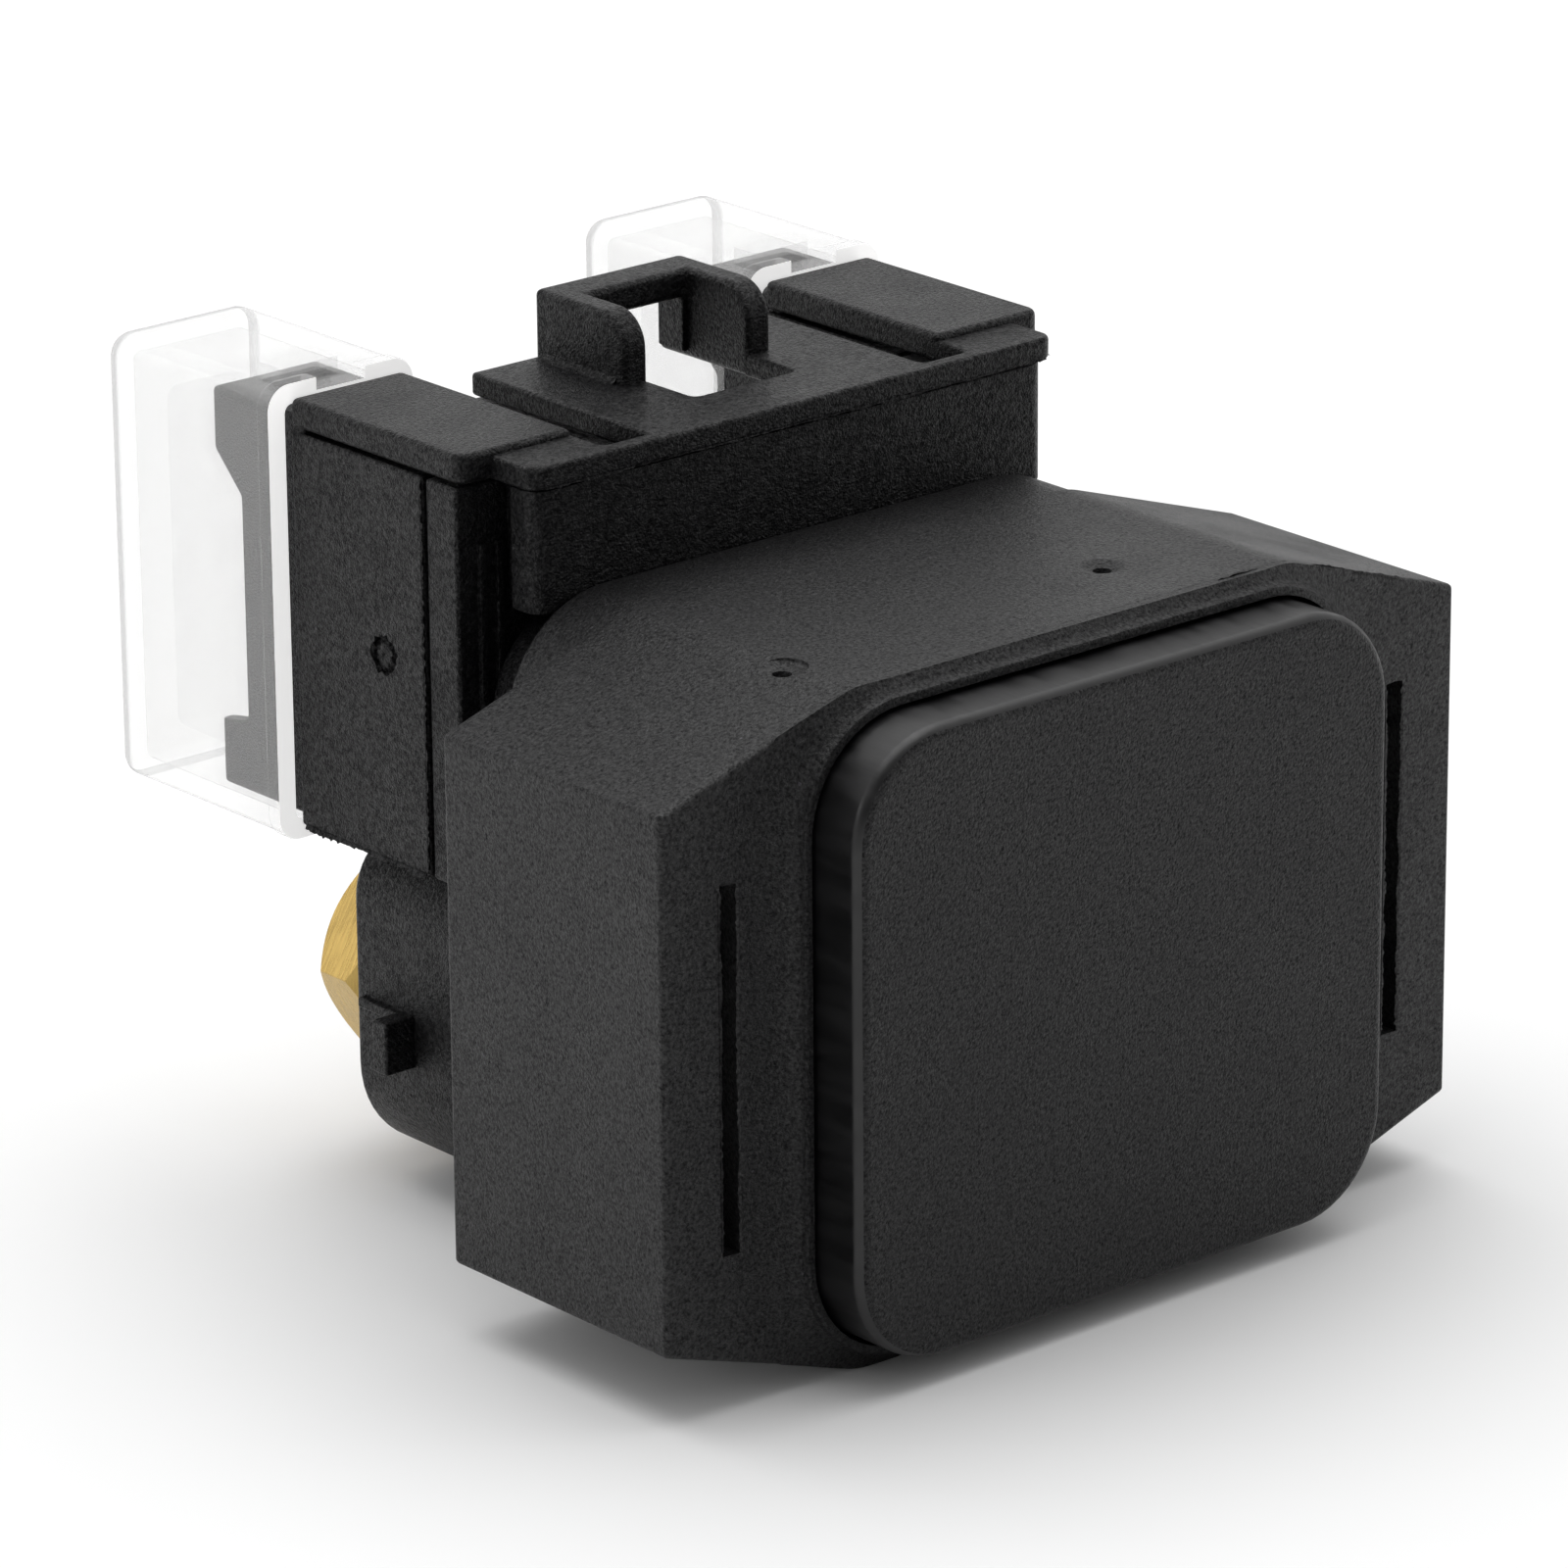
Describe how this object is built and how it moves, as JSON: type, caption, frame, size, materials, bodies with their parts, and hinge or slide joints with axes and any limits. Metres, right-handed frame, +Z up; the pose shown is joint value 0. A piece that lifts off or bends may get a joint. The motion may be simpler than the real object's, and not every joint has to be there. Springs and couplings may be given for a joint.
{
  "type": "starter relay",
  "caption": "Solenoid relay in a rubber vibration damper, with a latching plug socket between two covered blade-fuse holders and brass terminal bolts behind.",
  "frame": {"origin": "centre of the face the damper stands on: middle of the object's box in X and Y, at its lowest point", "axes": "+X to the spare-fuse side, +Y to the back where the socket, fuses and terminals point, +Z up to the latch bridge; the relay's closed face looks along -Y"},
  "size_m": [0.054, 0.0568, 0.0468],
  "materials": {
    "damper_rubber": "matt moulded nitrile rubber",
    "case_resin": "fine spark-eroded texture, black",
    "housing_resin": "glass-filled nylon, grainy, black",
    "cover_resin": "natural translucent polypropylene",
    "fuse_resin": "clear polycarbonate",
    "bobbin_resin": "natural nylon",
    "terminal_brass": "bright machined brass",
    "contact_copper": "turned copper",
    "enamelled_copper": "enamelled magnet wire",
    "tinned_metal": "tin plated",
    "zinc_steel": "zinc plated"
  },
  "bodies": {
    "relay_body": {"rubber_damper": "damper_rubber", "case_seal": "damper_rubber", "terminal_seal_battery": "damper_rubber", "terminal_seal_motor": "damper_rubber", "relay_case": "case_resin", "terminal_base": "housing_resin", "connector_housing": "housing_resin", "top_cap": "housing_resin", "fuse_holder_left": "housing_resin", "fuse_holder_right": "housing_resin", "main_fuse_body": "fuse_resin", "spare_fuse_body": "fuse_resin", "main_fuse_element": "tinned_metal", "spare_fuse_element": "tinned_metal", "fuse_clip_1": "tinned_metal", "fuse_clip_2": "tinned_metal", "connector_pin_1": "tinned_metal", "connector_pin_2": "tinned_metal", "connector_pin_3": "tinned_metal", "connector_pin_4": "tinned_metal", "fuse_strap": "terminal_brass", "contact_terminal_battery": "contact_copper", "contact_terminal_motor": "contact_copper", "coil_winding": "enamelled_copper", "coil_lead_1": "enamelled_copper", "coil_lead_2": "enamelled_copper", "coil_bobbin": "bobbin_resin", "yoke_frame": "zinc_steel", "yoke_end_plate": "zinc_steel", "fixed_core": "zinc_steel", "return_spring": "zinc_steel"},
    "plunger": {"plunger": "zinc_steel", "plunger_rod": "bobbin_resin", "retaining_clip": "zinc_steel", "contact_spring": "zinc_steel"},
    "contact_bridge": {"contact_bridge": "contact_copper"},
    "fuse_cover_left": {"fuse_cover_left": "cover_resin"},
    "fuse_cover_right": {"fuse_cover_right": "cover_resin"},
    "lock_washer_battery": {"lock_washer_battery": "zinc_steel"},
    "terminal_bolt_battery": {"terminal_bolt_battery": "terminal_brass"},
    "lock_washer_motor": {"lock_washer_motor": "zinc_steel"},
    "terminal_bolt_motor": {"terminal_bolt_motor": "terminal_brass"}
  },
  "joints": [
    {"name": "plunger_slide", "type": "slide", "parent": "relay_body", "child": "plunger", "axis": [0, 1, 0], "range_m": [0, 0.003], "stiffness_N_per_m": 300, "springref_m": -0.006, "deforming": ["return_spring", "contact_spring"]},
    {"name": "contact_bridge_slide", "type": "slide", "parent": "relay_body", "child": "contact_bridge", "axis": [0, 1, 0], "range_m": [0, 0.0024]},
    {"name": "fuse_cover_left_slide", "type": "slide", "parent": "relay_body", "child": "fuse_cover_left", "axis": [0, 1, 0], "range_m": [0, 0.016]},
    {"name": "fuse_cover_right_slide", "type": "slide", "parent": "relay_body", "child": "fuse_cover_right", "axis": [0, 1, 0], "range_m": [0, 0.016]},
    {"name": "lock_washer_battery_slide", "type": "slide", "parent": "relay_body", "child": "lock_washer_battery", "axis": [0, 1, 0], "range_m": [0, 0.007]},
    {"name": "terminal_bolt_battery_turn", "type": "hinge", "parent": "lock_washer_battery", "child": "terminal_bolt_battery", "pos_m": [-0.011, 0.01375, 0.01045], "axis": [0, 1, 0], "range_deg": [0, 2520]},
    {"name": "lock_washer_motor_slide", "type": "slide", "parent": "relay_body", "child": "lock_washer_motor", "axis": [0, 1, 0], "range_m": [0, 0.007]},
    {"name": "terminal_bolt_motor_turn", "type": "hinge", "parent": "lock_washer_motor", "child": "terminal_bolt_motor", "pos_m": [0.011, 0.01375, 0.01045], "axis": [0, 1, 0], "range_deg": [0, 2520]}
  ],
  "couplings": [
    {"joint": "contact_bridge_slide", "follows": "plunger_slide", "ratio": 0.8},
    {"joint": "terminal_bolt_battery_turn", "follows": "lock_washer_battery_slide", "rad_per_m": 6283.2},
    {"joint": "terminal_bolt_motor_turn", "follows": "lock_washer_motor_slide", "rad_per_m": 6283.2}
  ]
}
